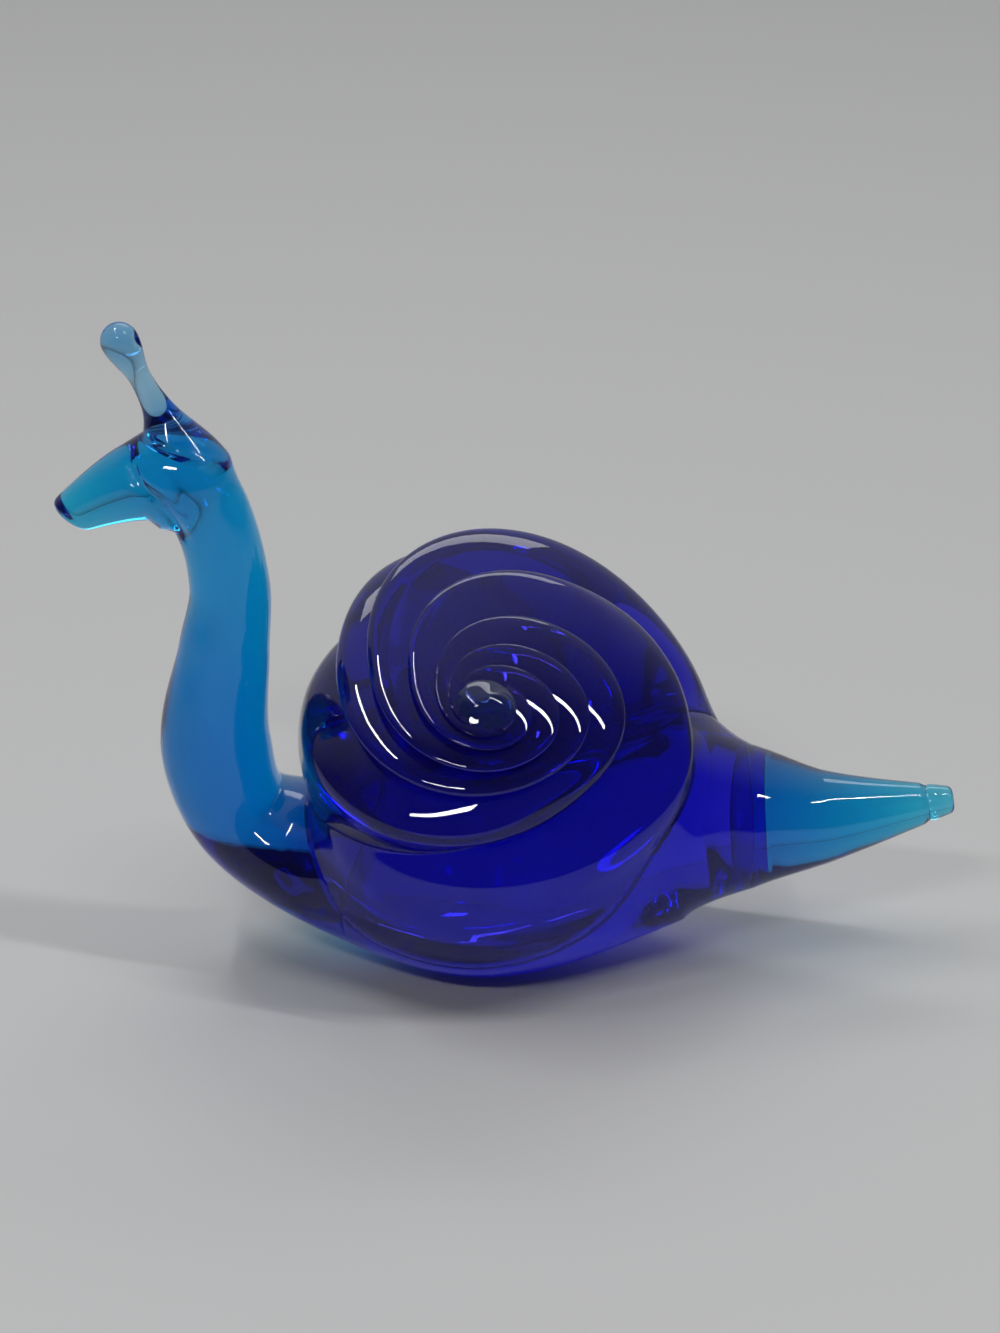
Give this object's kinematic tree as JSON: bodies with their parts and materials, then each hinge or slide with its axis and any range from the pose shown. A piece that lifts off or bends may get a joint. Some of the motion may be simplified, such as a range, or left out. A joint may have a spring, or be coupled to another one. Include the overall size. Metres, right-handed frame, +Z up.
{
  "type": "snail figurine",
  "caption": "Solid hot-worked glass snail ornament, raised neck and drawn-out tail, shell twisted from thick strands; rests on a ground flat",
  "frame": {"origin": "middle of the ground flat under the belly", "axes": "+X runs along the length towards the tail, -Y is the side that shows the swirl's end, +Z is up"},
  "size_m": [0.1631, 0.0741, 0.1205],
  "materials": {
    "cobalt_body": "fire-polished cobalt blue glass",
    "aqua_neck": "fire-polished aqua blue glass",
    "aqua_tail": "fire-polished aqua blue glass",
    "pale_aqua": "fire-polished pale aqua glass",
    "cobalt_shell": "fire-polished cobalt blue glass",
    "pale_nub": "pinched glass, a little paler than the shell"
  },
  "bodies": {
    "root": {"belly": "cobalt_body", "neck_and_head": "aqua_neck", "tail": "aqua_tail", "feeler": "pale_aqua", "shell_strand_1": "cobalt_shell", "shell_strand_2": "cobalt_shell", "shell_strand_3": "cobalt_shell", "shell_strand_4": "cobalt_shell", "shell_nub": "pale_nub"}
  },
  "joints": []
}
